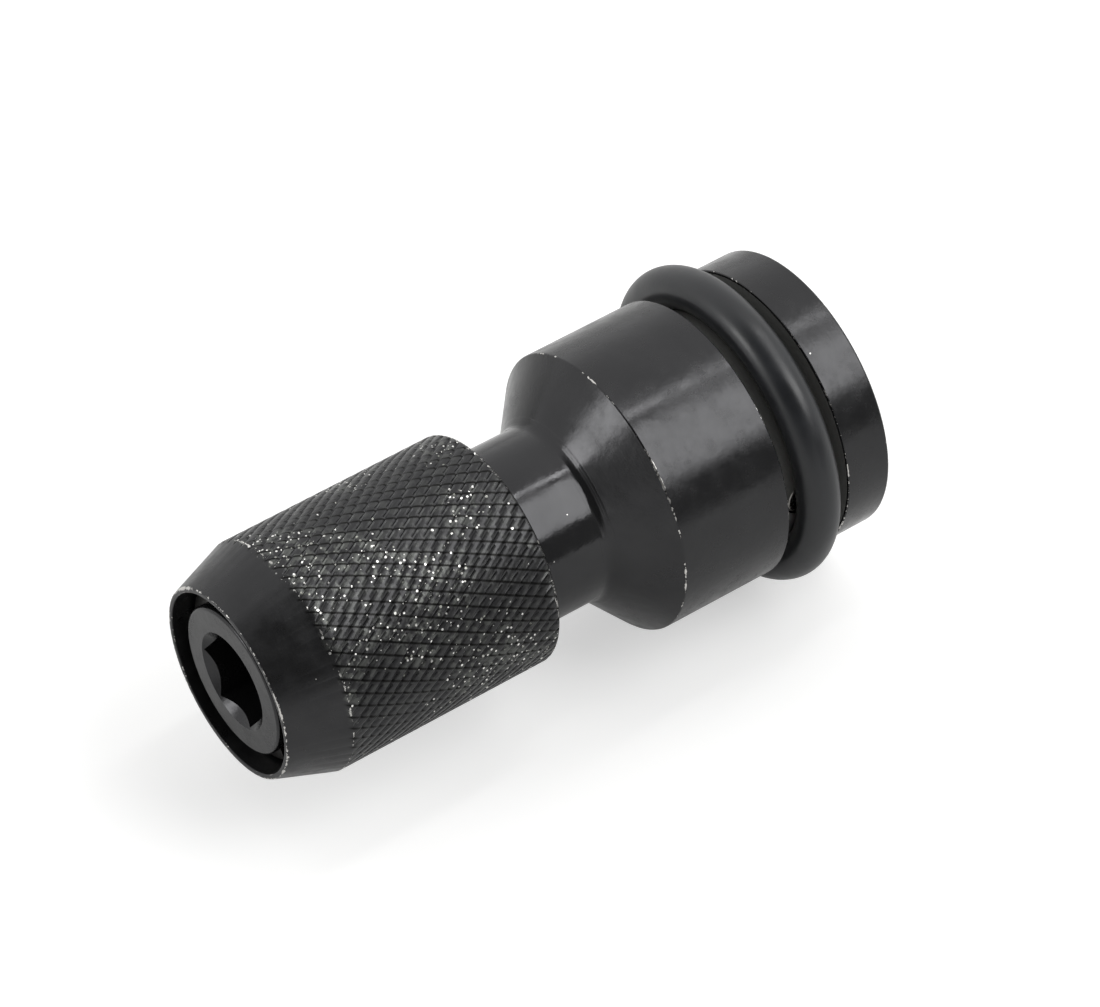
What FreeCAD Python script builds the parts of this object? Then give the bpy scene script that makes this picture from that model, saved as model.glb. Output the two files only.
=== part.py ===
"""Quick-change bit adapter: a square drive socket behind, a spring-loaded hex bit chuck in front.

Every piece is drawn in the adapter's own stations: millimetres along +Y from the sleeve's front rim.
Each Placement then moves it back by the overall length, so that the origin of the finished part is
the centre of the drive end's rear face, with the chuck towards -Y and +Z up.
"""
import FreeCAD, Part
import math
import os
import Sketcher

doc = FreeCAD.newDocument("bit_adapter")
sheet = doc.addObject("Spreadsheet::Sheet", "Sizes")

SIZES = {
    # Standard interfaces
    "hex_size": 6.35,
    "drive_square": 12.7,
    # Stem, from its front face back to the step that stops the sleeve
    "stem_recess": 0.4,
    "stem_wall": 2.03,
    "nose_length": 1.3,
    "step_height": 1.11,
    "nose_chamfer": 0.3,
    "hex_lead_in": 0.6,
    "hex_end_wall": 3.0,
    "drill_half_angle": 59.0,
    # Neck, shoulder and drum
    "bare_neck": 5.83,
    "shoulder_length": 3.64,
    "shoulder_fillet": 0.9,
    "drum_length": 18.36,
    "drum_edge_round": 0.25,
    "rear_chamfer": 0.2,
    # Drive socket
    "drive_corner_radius": 1.2,
    "drive_end_wall": 2.36,
    "drill_relief": 1.2,
    "drive_lead_in": 1.2,
    "lead_in_margin": 0.1,
    # O-ring groove, with the retaining pin under it
    "groove_wall": 0.72,
    "groove_depth": 1.74,
    "groove_width": 5.33,
    "rear_flange": 3.74,
    "o_ring_section": 3.2,
    "pin_diameter": 3.0,
    "pin_chamfer": 0.3,
    # Locking balls and the sleeve that works them
    "ball_diameter": 3.0,
    "ball_seat_ratio": 0.76,
    "sleeve_stroke": 3.0,
    "lock_land": 1.45,
    "ramp_lead": 0.25,
    "relief_length": 1.85,
    "guide_land": 1.0,
    "skirt_length": 3.67,
    "skirt_wall": 2.1,
    "nose_cone_length": 4.47,
    "rim_wall": 0.38,
    "rim_chamfer": 0.12,
    "sleeve_edge_round": 0.3,
    # Spring, washer and clip
    "spring_wire": 0.8,
    "spring_length": 7.9,
    "spring_turns": 4.5,
    "spring_clearance": 0.245,
    "washer_thickness": 0.7,
    "clip_thickness": 0.9,
    "clip_depth": 0.5,
    "clip_gap_angle": 50.0,
    # Clearances
    "hex_clearance": 0.05,
    "drive_clearance": 0.05,
    "sliding_clearance": 0.05,
    "ball_clearance": 0.03,
    "seat_clearance": 0.02,
}
for row, (alias, size) in enumerate(SIZES.items(), start=1):
    sheet.set(f"A{row}", alias.replace("_", " "))
    sheet.set(f"B{row}", str(size))
    sheet.setAlias(f"B{row}", alias)
doc.recompute()

# Radii from the axis, as expressions in the sheet's sizes
HEX_FLATS = "(Sizes.hex_size + Sizes.hex_clearance)"
HEX_CORNER = f"({HEX_FLATS} / sqrt(3))"
STEM = f"({HEX_CORNER} + Sizes.stem_wall)"
NECK = f"({STEM} + Sizes.step_height)"
SOCKET_FLATS = "(Sizes.drive_square + Sizes.drive_clearance)"
SOCKET_CORNER = f"({SOCKET_FLATS} / sqrt(2) - Sizes.drive_corner_radius * (sqrt(2) - 1))"
GROOVE_FLOOR = f"({SOCKET_CORNER} + Sizes.groove_wall)"
DRUM = f"({GROOVE_FLOOR} + Sizes.groove_depth)"
CLIP_GROOVE = f"({STEM} - Sizes.clip_depth)"
SPRING_BORE = f"({STEM} + Sizes.spring_wire + 2 * Sizes.spring_clearance)"
SPRING_COIL = f"(({STEM} + {SPRING_BORE}) / 2)"
LOCK_BORE = f"({STEM} + Sizes.sliding_clearance)"
BALL_LIFT = f"({HEX_CORNER} + Sizes.ball_diameter - {STEM})"
RELIEF_BORE = f"({LOCK_BORE} + {BALL_LIFT})"
SKIRT_BORE = f"({NECK} + Sizes.sliding_clearance)"
GRIP = f"({SKIRT_BORE} + Sizes.skirt_wall)"
BALL_CENTRE = f"({STEM} - Sizes.ball_diameter / 2)"
BALL_HOLE = "(Sizes.ball_diameter / 2 + Sizes.ball_clearance)"
BALL_THROAT = "(Sizes.ball_diameter / 2 * Sizes.ball_seat_ratio)"
BALL_SINK = "(Sizes.ball_diameter / 2 * sqrt(1 - Sizes.ball_seat_ratio ^ 2))"
BALL_SEAT = f"({BALL_CENTRE} - {BALL_SINK} - Sizes.seat_clearance)"
PIN_HOLE = "(Sizes.pin_diameter / 2 + Sizes.sliding_clearance)"

# Stations along the axis, from the sleeve's front rim
CLIP_FRONT = "(Sizes.stem_recess + Sizes.nose_length)"
WASHER_FRONT = f"({CLIP_FRONT} + Sizes.clip_thickness)"
SPRING_FRONT = f"({WASHER_FRONT} + Sizes.washer_thickness)"
SPRING_BACK = f"({SPRING_FRONT} + Sizes.spring_length)"
RAMP_FRONT = f"({SPRING_BACK} + Sizes.lock_land)"
BALL_STATION = f"({RAMP_FRONT} + Sizes.ramp_lead)"
RAMP_BACK = f"({RAMP_FRONT} + Sizes.sleeve_stroke)"
RELIEF_BACK = f"({RAMP_BACK} + Sizes.relief_length)"
STEP = f"({RELIEF_BACK} + Sizes.guide_land)"
SLEEVE_BACK = f"({STEP} + Sizes.skirt_length)"
SHOULDER_FRONT = f"({SLEEVE_BACK} + Sizes.bare_neck)"
DRUM_FRONT = f"({SHOULDER_FRONT} + Sizes.shoulder_length)"
DRUM_BACK = f"({DRUM_FRONT} + Sizes.drum_length)"
GROOVE_BACK = f"({DRUM_BACK} - Sizes.rear_flange)"
GROOVE_FRONT = f"({GROOVE_BACK} - Sizes.groove_width)"
PIN_STATION = f"(({GROOVE_FRONT} + {GROOVE_BACK}) / 2)"
SOCKET_FRONT = f"({DRUM_FRONT} + Sizes.drive_end_wall)"
HEX_BACK = f"({SHOULDER_FRONT} - Sizes.hex_end_wall)"

ORIGIN_POINT = (-1, 1)
AXIS_LINE = -2
CROSS_LINE = -1


def value(expression):
    """The number that an expression in the sheet's sizes has now."""
    return float(sheet.evalExpression(expression))


def new_body(name):
    """An empty body whose front stands at the sleeve's rim."""
    body = doc.addObject("PartDesign::Body", name)
    body.Label = name
    body.setExpression("Placement.Base.y", f"-{DRUM_BACK}")
    return body


def new_sketch(body, name, role):
    """A sketch on one of the body's own origin planes."""
    sketch = body.newObject("Sketcher::SketchObject", name)
    plane = next(feature for feature in body.Origin.OriginFeatures if feature.Role == role)
    sketch.AttachmentSupport = [(plane, "")]
    sketch.MapMode = "FlatFace"
    return sketch


def pin_point(sketch, line, end, radius, station):
    """Ties one end of a line to its radius and station."""
    if radius == "0":
        sketch.addConstraint(Sketcher.Constraint("PointOnObject", line, end, AXIS_LINE))
    else:
        index = sketch.addConstraint(
            Sketcher.Constraint("DistanceX", *ORIGIN_POINT, line, end, value(radius)))
        sketch.setExpression(f"Constraints[{index}]", radius)
    index = sketch.addConstraint(
        Sketcher.Constraint("DistanceY", *ORIGIN_POINT, line, end, value(station)))
    sketch.setExpression(f"Constraints[{index}]", station)


def outline(body, name, corners):
    """A closed outline of straight lines through (radius, station) corners, beside the axis."""
    sketch = new_sketch(body, name, "XY_Plane")
    places = [FreeCAD.Vector(value(radius), value(station), 0) for radius, station in corners]
    lines = [sketch.addGeometry(Part.LineSegment(a, b), False)
             for a, b in zip(places, places[1:] + places[:1])]
    for here, following in zip(lines, lines[1:] + lines[:1]):
        sketch.addConstraint(Sketcher.Constraint("Coincident", here, 2, following, 1))
    for line, (radius, station) in zip(lines, corners):
        pin_point(sketch, line, 1, radius, station)
    return sketch


def regular_polygon(body, name, sides, corner_radius, first_angle):
    """A regular polygon about the axis, its corners on a construction circle."""
    sketch = new_sketch(body, name, "XZ_Plane")
    radius = value(corner_radius)
    angles = [first_angle + 2 * math.pi * side / sides for side in range(sides)]
    places = [FreeCAD.Vector(radius * math.cos(a), radius * math.sin(a), 0) for a in angles]
    circle = sketch.addGeometry(Part.Circle(FreeCAD.Vector(0, 0, 0), FreeCAD.Vector(0, 0, 1), radius), True)
    sketch.addConstraint(Sketcher.Constraint("Coincident", circle, 3, *ORIGIN_POINT))
    index = sketch.addConstraint(Sketcher.Constraint("Radius", circle, radius))
    sketch.setExpression(f"Constraints[{index}]", corner_radius)
    lines = [sketch.addGeometry(Part.LineSegment(a, b), False)
             for a, b in zip(places, places[1:] + places[:1])]
    for here, following in zip(lines, lines[1:] + lines[:1]):
        sketch.addConstraint(Sketcher.Constraint("Coincident", here, 2, following, 1))
        sketch.addConstraint(Sketcher.Constraint("PointOnObject", here, 2, circle))
    for line in lines[1:]:
        sketch.addConstraint(Sketcher.Constraint("Equal", lines[0], line))
    return sketch, lines


def circle_sketch(body, name, role, radius, right, up="0"):
    """A circle on an origin plane, its centre a distance to the right and up."""
    sketch = new_sketch(body, name, role)
    centre = FreeCAD.Vector(value(right), value(up), 0)
    circle = sketch.addGeometry(Part.Circle(centre, FreeCAD.Vector(0, 0, 1), value(radius)), False)
    for kind, ends, expression in (("Radius", (circle,), radius),
                                   ("DistanceX", (*ORIGIN_POINT, circle, 3), right),
                                   ("DistanceY", (*ORIGIN_POINT, circle, 3), up)):
        index = sketch.addConstraint(Sketcher.Constraint(kind, *ends, value(expression)))
        sketch.setExpression(f"Constraints[{index}]", expression)
    return sketch


def revolve(body, name, kind, sketch):
    """Turns an outline about the axis, as a Revolution or as a Groove."""
    feature = body.newObject(f"PartDesign::{kind}", name)
    feature.Profile = sketch
    feature.ReferenceAxis = (sketch, ["V_Axis"])
    feature.Angle = 360
    return feature


def ring_edges(feature, radius, station):
    """Names of the round edges about the axis at a radius and a station."""
    found = []
    for number, edge in enumerate(feature.Shape.Edges, start=1):
        curve = edge.Curve
        if not isinstance(curve, Part.Circle):
            continue
        if abs(curve.Radius - radius) < 1e-3 and abs(curve.Center.y - station) < 1e-3:
            found.append(f"Edge{number}")
    return found


def dress(body, name, kind, base, edges, size):
    """A Fillet or Chamfer of one size on edges of the feature before it."""
    feature = body.newObject(f"PartDesign::{kind}", name)
    feature.Base = (base, edges)
    feature.setExpression("Radius" if kind == "Fillet" else "Size", size)
    doc.recompute()
    return feature


def cut_along(body, name, sketch, length, towards_drive):
    """A pocket along the axis from a sketch, a given length deep."""
    pocket = body.newObject("PartDesign::Pocket", name)
    pocket.Profile = sketch
    pocket.setExpression("Length", length)
    pocket.Reversed = not towards_drive
    return pocket


def turned_blank(body):
    """The adapter body as it leaves the lathe: stem, neck, shoulder, drum and both grooves."""
    corners = [
        ("0", "Sizes.stem_recess"),
        (STEM, "Sizes.stem_recess"),
        (STEM, CLIP_FRONT + " - Sizes.seat_clearance"),
        (CLIP_GROOVE, CLIP_FRONT + " - Sizes.seat_clearance"),
        (CLIP_GROOVE, WASHER_FRONT + " + Sizes.seat_clearance"),
        (STEM, WASHER_FRONT + " + Sizes.seat_clearance"),
        (STEM, STEP),
        (NECK, STEP),
        (NECK, SHOULDER_FRONT),
        (DRUM, DRUM_FRONT),
        (DRUM, GROOVE_FRONT),
        (GROOVE_FLOOR, GROOVE_FRONT),
        (GROOVE_FLOOR, GROOVE_BACK),
        (DRUM, GROOVE_BACK),
        (DRUM, DRUM_BACK),
        ("0", DRUM_BACK),
    ]
    blank = revolve(body, "turned_blank", "Revolution", outline(body, "blank_outline", corners))
    doc.recompute()
    root = dress(body, "shoulder_root", "Fillet", blank,
                 ring_edges(blank, value(NECK), value(SHOULDER_FRONT)), "Sizes.shoulder_fillet")
    edge = dress(body, "drum_edge", "Fillet", root,
                 ring_edges(root, value(DRUM), value(DRUM_FRONT)), "Sizes.drum_edge_round")
    nose = dress(body, "stem_nose", "Chamfer", edge,
                 ring_edges(edge, value(STEM), value("Sizes.stem_recess")), "Sizes.nose_chamfer")
    return dress(body, "rear_rim", "Chamfer", nose,
                 ring_edges(nose, value(DRUM), value(DRUM_BACK)), "Sizes.rear_chamfer")


def hex_chuck(body):
    """The broached hexagon, corners to left and right, with its drill point and its lead-in."""
    sketch, _ = regular_polygon(body, "hex_outline", 6, HEX_CORNER, 0)
    sketch.addConstraint(Sketcher.Constraint("PointOnObject", 1, 1, CROSS_LINE))
    cut_along(body, "hex_broach", sketch, HEX_BACK, True)
    lead_in = f"({HEX_CORNER} + Sizes.lead_in_margin)"
    corners = [
        ("0", "0"),
        (f"{lead_in} + Sizes.stem_recess", "0"),
        (lead_in + " - Sizes.hex_lead_in", "Sizes.stem_recess + Sizes.hex_lead_in"),
        ("0", "Sizes.stem_recess + Sizes.hex_lead_in"),
    ]
    revolve(body, "hex_lead_in", "Groove", outline(body, "hex_lead_in_outline", corners))
    point = [
        ("0", f"{HEX_BACK} - Sizes.hex_lead_in"),
        (f"{HEX_FLATS} / 2", f"{HEX_BACK} - Sizes.hex_lead_in"),
        (f"{HEX_FLATS} / 2", HEX_BACK),
        ("0", f"{HEX_BACK} + {HEX_FLATS} / 2 / tan(Sizes.drill_half_angle)"),
    ]
    revolve(body, "hex_drill_point", "Groove", outline(body, "hex_drill_outline", point))


def ball_holes(body):
    """Two holes through the stem at the hexagon's corners, each with a seat for its ball."""
    throat = body.newObject("PartDesign::Pocket", "ball_throats")
    throat.Profile = circle_sketch(body, "ball_throat_circle", "YZ_Plane", BALL_THROAT, BALL_STATION)
    throat.Type = "ThroughAll"
    throat.Midplane = True
    for name, side in (("right", 1), ("left", -1)):
        sketch = circle_sketch(body, f"ball_circle_{name}", "YZ_Plane", BALL_HOLE, BALL_STATION)
        sketch.setExpression("AttachmentOffset.Base.z", f"{side} * {BALL_SEAT}")
        hole = body.newObject("PartDesign::Pocket", f"ball_hole_{name}")
        hole.Profile = sketch
        hole.Type = "ThroughAll"
        hole.Reversed = side > 0


def square_socket(body):
    """The square drive socket with rounded corners, its chip relief, lead-in and cross hole."""
    sketch, _ = regular_polygon(body, "square_outline", 4, f"({SOCKET_FLATS} / sqrt(2))", math.pi / 4)
    sketch.addConstraint(Sketcher.Constraint("Horizontal", 1))
    sketch.setExpression("AttachmentOffset.Base.z", f"-{DRUM_BACK}")
    broach = cut_along(body, "square_broach", sketch, f"{DRUM_BACK} - {SOCKET_FRONT}", False)
    doc.recompute()
    half = value(f"{SOCKET_FLATS} / 2")
    corners = [f"Edge{number}" for number, edge in enumerate(broach.Shape.Edges, start=1)
               if len(edge.Vertexes) == 2
               and all(abs(abs(v.X) - half) < 1e-3 and abs(abs(v.Z) - half) < 1e-3 for v in edge.Vertexes)
               and abs(edge.Vertexes[0].Y - edge.Vertexes[1].Y) > 1]
    dress(body, "square_corners", "Fillet", broach, corners, "Sizes.drive_corner_radius")
    relief = [
        ("0", DRUM_BACK),
        (f"{SOCKET_FLATS} / 2", DRUM_BACK),
        (f"{SOCKET_FLATS} / 2", f"{SOCKET_FRONT} - Sizes.drill_relief"),
        ("0", f"{SOCKET_FRONT} - Sizes.drill_relief - {SOCKET_FLATS} / 2 / tan(Sizes.drill_half_angle)"),
    ]
    revolve(body, "drill_relief", "Groove", outline(body, "drill_relief_outline", relief))
    mouth_radius = f"({SOCKET_CORNER} + Sizes.lead_in_margin)"
    mouth = [
        ("0", f"{DRUM_BACK} - Sizes.drive_lead_in"),
        (mouth_radius + " - Sizes.drive_lead_in", f"{DRUM_BACK} - Sizes.drive_lead_in"),
        (mouth_radius, DRUM_BACK),
        ("0", DRUM_BACK),
    ]
    revolve(body, "drive_lead_in", "Groove", outline(body, "drive_lead_in_outline", mouth))
    hole = body.newObject("PartDesign::Pocket", "pin_hole")
    hole.Profile = circle_sketch(body, "pin_hole_circle", "YZ_Plane", PIN_HOLE, PIN_STATION)
    hole.Type = "ThroughAll"
    hole.Midplane = True


def adapter_body():
    """The one-piece steel body that carries the torque from the square to the hexagon."""
    body = new_body("adapter_body")
    turned_blank(body)
    hex_chuck(body)
    ball_holes(body)
    square_socket(body)
    return body


def knurled_sleeve():
    """The collar that is pulled forwards to free the bit; its bore works the balls."""
    body = new_body("knurled_sleeve")
    corners = [
        (SPRING_BORE, "0"),
        (f"{SPRING_BORE} + Sizes.rim_wall", "0"),
        (GRIP, "Sizes.nose_cone_length"),
        (GRIP, SLEEVE_BACK),
        (SKIRT_BORE, SLEEVE_BACK),
        (SKIRT_BORE, STEP),
        (LOCK_BORE, STEP),
        (LOCK_BORE, RELIEF_BACK),
        (RELIEF_BORE, RELIEF_BACK),
        (RELIEF_BORE, RAMP_BACK),
        (LOCK_BORE, RAMP_FRONT),
        (LOCK_BORE, SPRING_BACK),
        (SPRING_BORE, SPRING_BACK),
    ]
    turned = revolve(body, "turned_sleeve", "Revolution", outline(body, "sleeve_outline", corners))
    doc.recompute()
    rim = dress(body, "rim", "Chamfer", turned,
                ring_edges(turned, value(f"{SPRING_BORE} + Sizes.rim_wall"), 0), "Sizes.rim_chamfer")
    dress(body, "back_edge", "Fillet", rim,
          ring_edges(rim, value(GRIP), value(SLEEVE_BACK)), "Sizes.sleeve_edge_round")
    return body


def return_spring():
    """The compression spring that pushes the sleeve back against the step."""
    body = new_body("return_spring")
    sketch = circle_sketch(body, "wire_circle", "XY_Plane", "Sizes.spring_wire / 2", SPRING_COIL,
                           f"{SPRING_FRONT} + Sizes.spring_wire / 2")
    coil = body.newObject("PartDesign::AdditiveHelix", "coil")
    coil.Profile = sketch
    coil.ReferenceAxis = (sketch, ["V_Axis"])
    coil.Mode = "pitch-height-angle"
    coil.setExpression("Height", "Sizes.spring_length - Sizes.spring_wire")
    coil.setExpression("Pitch", "(Sizes.spring_length - Sizes.spring_wire) / Sizes.spring_turns")
    return body


def flat_ring(name, inner, outer, front, thickness, gap_angle="0"):
    """A flat ring round the stem, whole or with a gap on one side."""
    body = new_body(name)
    corners = [
        (inner, front),
        (outer, front),
        (outer, f"{front} + {thickness}"),
        (inner, f"{front} + {thickness}"),
    ]
    ring = revolve(body, f"{name}_ring", "Revolution", outline(body, f"{name}_outline", corners))
    ring.setExpression("Angle", f"360 - {gap_angle}")
    return body


def retaining_pin():
    """The cross pin that keeps the adapter on a drive square, held in by the O-ring."""
    body = new_body("retaining_pin")
    sketch = circle_sketch(body, "pin_circle", "YZ_Plane", "Sizes.pin_diameter / 2", PIN_STATION)
    pad = body.newObject("PartDesign::Pad", "pin")
    pad.Profile = sketch
    pad.Midplane = True
    pad.setExpression("Length", f"2 * ({GROOVE_FLOOR} - Sizes.seat_clearance)")
    doc.recompute()
    ends = [f"Edge{number}" for number, edge in enumerate(pad.Shape.Edges, start=1)
            if isinstance(edge.Curve, Part.Circle)]
    dress(body, "pin_ends", "Chamfer", pad, ends, "Sizes.pin_chamfer")
    return body


def locking_ball(name, side):
    """One steel ball in the stem's wall, at a corner of the hexagon."""
    ball = doc.addObject("Part::Sphere", name)
    ball.Label = name
    ball.setExpression("Radius", "Sizes.ball_diameter / 2")
    ball.setExpression("Placement.Base.y", f"{BALL_STATION} - {DRUM_BACK}")
    ball.setExpression("Placement.Base.x", f"{side} * {BALL_CENTRE}")
    return ball


def drive_o_ring():
    """The rubber ring in the drive end's groove, over the pin."""
    ring = doc.addObject("Part::Torus", "drive_o_ring")
    ring.Label = "drive_o_ring"
    ring.setExpression("Radius1", f"{GROOVE_FLOOR} + Sizes.seat_clearance + Sizes.o_ring_section / 2")
    ring.setExpression("Radius2", "Sizes.o_ring_section / 2")
    ring.Placement.Rotation = FreeCAD.Rotation(FreeCAD.Vector(1, 0, 0), 90)
    ring.setExpression("Placement.Base.y", f"{PIN_STATION} - {DRUM_BACK}")
    return ring


sub_parts = [
    adapter_body(),
    knurled_sleeve(),
    return_spring(),
    flat_ring("spring_washer", LOCK_BORE, f"{SPRING_BORE} - Sizes.sliding_clearance",
              WASHER_FRONT, "Sizes.washer_thickness"),
    flat_ring("retaining_clip", f"{CLIP_GROOVE} + Sizes.seat_clearance",
              f"{SPRING_BORE} - Sizes.spring_clearance", CLIP_FRONT, "Sizes.clip_thickness",
              "Sizes.clip_gap_angle"),
    locking_ball("locking_ball_right", 1),
    locking_ball("locking_ball_left", -1),
    drive_o_ring(),
    retaining_pin(),
]
doc.recompute()

for item in doc.Objects:
    if "Invalid" in item.State or "Error" in item.State:
        raise RuntimeError(f"{item.Name} failed: {item.State}")
for item in sub_parts:
    if item.Shape.isNull() or not item.Shape.isValid():
        raise RuntimeError(f"{item.Label} has no valid shape")

os.makedirs("parts", exist_ok=True)
for item in sub_parts:
    item.Shape.exportStep(f"parts/{item.Label}.step")
    box = item.Shape.BoundBox
    print(f"{item.Label}: {len(item.Shape.Solids)} solid, {item.Shape.Volume:.1f} mm3, "
          f"y {box.YMin:.2f} to {box.YMax:.2f}, z {box.ZMin:.2f} to {box.ZMax:.2f}")
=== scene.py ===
import math
import bpy
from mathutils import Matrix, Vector


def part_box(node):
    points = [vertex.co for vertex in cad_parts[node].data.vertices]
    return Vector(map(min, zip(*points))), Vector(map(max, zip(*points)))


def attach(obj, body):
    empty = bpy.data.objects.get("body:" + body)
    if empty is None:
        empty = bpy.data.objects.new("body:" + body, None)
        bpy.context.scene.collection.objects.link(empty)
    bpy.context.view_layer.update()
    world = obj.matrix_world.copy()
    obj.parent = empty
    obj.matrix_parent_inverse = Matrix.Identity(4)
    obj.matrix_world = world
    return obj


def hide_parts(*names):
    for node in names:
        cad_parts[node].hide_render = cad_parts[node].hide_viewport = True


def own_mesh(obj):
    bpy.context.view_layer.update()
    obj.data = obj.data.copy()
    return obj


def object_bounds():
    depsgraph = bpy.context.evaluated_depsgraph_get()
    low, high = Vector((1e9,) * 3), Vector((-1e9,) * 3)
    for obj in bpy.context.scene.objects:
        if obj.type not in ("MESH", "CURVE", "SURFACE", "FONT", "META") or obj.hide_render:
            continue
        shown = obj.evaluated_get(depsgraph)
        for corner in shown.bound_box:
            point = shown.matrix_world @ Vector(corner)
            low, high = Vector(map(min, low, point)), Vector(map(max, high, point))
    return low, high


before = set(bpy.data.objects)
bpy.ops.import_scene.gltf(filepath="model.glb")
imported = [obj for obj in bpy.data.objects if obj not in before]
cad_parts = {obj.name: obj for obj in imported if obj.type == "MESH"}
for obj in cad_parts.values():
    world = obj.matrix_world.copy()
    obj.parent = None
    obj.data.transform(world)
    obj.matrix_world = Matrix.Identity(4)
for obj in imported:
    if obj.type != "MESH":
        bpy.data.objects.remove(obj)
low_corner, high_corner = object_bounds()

# Camera and studio: a long lens looks down over the chuck at the adapter, which lies with its axis
# along Y on a pale matte card. A wide soft light and a narrow strip hang beyond it and give the
# turned steel its two bright bands. The room is white, and darker where the blacked steel mirrors
# the camera's side. The card is lit to read as white, but throws little light up under the steel.
CAMERA_AZIMUTH = 54.0
CAMERA_ELEVATION = 45.9
CAMERA_DISTANCE = 0.3844
CAMERA_LENS = 176.2
FRAME_RIGHT = 0.0022
FRAME_DOWN = 0.0020
LIGHT_DISTANCE = 0.6
ROOM_BRIGHTNESS = 1.05
CARD_SIZE = 3.0
CARD_WHITE = "#D4D4D3"
CARD_GLOW = 0.14
CARD_GLOW_SEEN = 0.5
axis_middle = Vector((0, (low_corner.y + high_corner.y) / 2, 0))


def linear(hex_colour):
    """An sRGB hex colour as the linear colour that a shader reads."""
    parts = [int(hex_colour[i:i + 2], 16) / 255 for i in (1, 3, 5)]
    return [c / 12.92 if c <= 0.04045 else ((c + 0.055) / 1.055) ** 2.4 for c in parts] + [1.0]


def add_node(tree, kind, inputs=(), output=None, **settings):
    """Adds a node and gives back one of its outputs, the first in use unless another is named.

    Each input is keyed by name or number, and is a value or another node's output to link.
    """
    node = tree.nodes.new("ShaderNode" + kind)
    for name, setting in settings.items():
        setattr(node, name, setting)
    for key, given in dict(inputs).items():
        if isinstance(key, int):
            socket = node.inputs[key]
        else:
            socket = next(s for s in node.inputs if s.enabled and s.name == key)
        if isinstance(given, bpy.types.NodeSocket):
            tree.links.new(given, socket)
        else:
            socket.default_value = given
    return node.outputs[output] if output else next(s for s in node.outputs if s.enabled)


azimuth, elevation = math.radians(CAMERA_AZIMUTH), math.radians(CAMERA_ELEVATION)
to_camera = Vector((math.sin(azimuth) * math.cos(elevation),
                    -math.cos(azimuth) * math.cos(elevation), math.sin(elevation)))
facing = to_camera.to_track_quat("Z", "Y")
camera_data = bpy.data.cameras.new("camera")
camera_data.lens = CAMERA_LENS
camera_data.sensor_width = 36.0
camera_data.clip_start = 0.01
camera = bpy.data.objects.new("camera", camera_data)
bpy.context.collection.objects.link(camera)
camera.rotation_euler = facing.to_euler()
camera.location = axis_middle + facing @ Vector((FRAME_RIGHT, FRAME_DOWN, CAMERA_DISTANCE))
bpy.context.scene.camera = camera
bpy.context.scene.view_settings.view_transform = "Standard"

bpy.ops.object.select_all(action="DESELECT")
bpy.ops.mesh.primitive_plane_add(size=CARD_SIZE, location=(0, 0, low_corner.z))
floor = bpy.context.object
floor.name = "studio_floor"
white_card = bpy.data.materials.new("matte_white_card")
white_card.use_nodes = True
tree = white_card.node_tree
shader = tree.nodes["Principled BSDF"]
shader.inputs["Base Color"].default_value = linear(CARD_WHITE)
shader.inputs["Roughness"].default_value = 0.9
shader.inputs["Specular IOR Level"].default_value = 0.1
shader.inputs["Emission Color"].default_value = (1, 1, 1, 1)
seen_directly = add_node(tree, "LightPath", output="Is Camera Ray")
glow = add_node(tree, "Mix", {"Factor": seen_directly, "A": CARD_GLOW, "B": CARD_GLOW_SEEN})
tree.links.new(glow, shader.inputs["Emission Strength"])
floor.data.materials.append(white_card)

room = bpy.data.worlds.new("white_room")
room.use_nodes = True
bpy.context.scene.world = room
air = room.node_tree
seen_from = add_node(air, "TexCoord", output="Generated")


def darker(brightness, toward, start, full, least):
    """The room's brightness, brought down smoothly round one direction."""
    nearness = add_node(air, "VectorMath", {0: seen_from, 1: toward}, "Value", operation="DOT_PRODUCT")
    share = add_node(air, "MapRange", {"Value": nearness, "From Min": start, "From Max": full,
                                       "To Min": 1.0, "To Max": least}, interpolation_type="SMOOTHSTEP")
    return add_node(air, "Math", {0: brightness, 1: share}, operation="MULTIPLY")


over_the_camera = darker(ROOM_BRIGHTNESS, toward=(0.50, -0.45, 0.74), start=0.55, full=0.84, least=0.1)
room_light = darker(over_the_camera, toward=(0.88, 0.45, 0.15), start=0.84, full=0.97, least=0.25)
seen_directly = add_node(air, "LightPath", output="Is Camera Ray")
room_light = add_node(air, "Mix", {"Factor": seen_directly, "A": room_light, "B": ROOM_BRIGHTNESS})
air.links.new(room_light, air.nodes["Background"].inputs["Strength"])
air.nodes["Background"].inputs["Color"].default_value = (1, 1, 1, 1)


def soft_light(name, toward, width, length, radiance):
    """A rectangular light that faces the object, its long side along Y.

    It is as bright as a white card times radiance.
    """
    data = bpy.data.lights.new(name, "AREA")
    data.shape = "RECTANGLE"
    data.size = width
    data.size_y = length
    data.energy = radiance * math.pi * width * length
    light = bpy.data.objects.new(name, data)
    bpy.context.collection.objects.link(light)
    light.location = axis_middle + Vector(toward).normalized() * LIGHT_DISTANCE
    light.rotation_euler = Vector(toward).to_track_quat("Z", "Y").to_euler()


soft_light("wide_softbox", toward=(0.50, 0.41, 0.76), width=0.32, length=0.44, radiance=3.4)
soft_light("strip_light", toward=(-0.03, 0.41, 0.911), width=0.04, length=0.44, radiance=6.5)
soft_light("side_softbox", toward=(-0.29, -0.88, 0.38), width=0.2, length=0.2, radiance=4.4)

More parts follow.
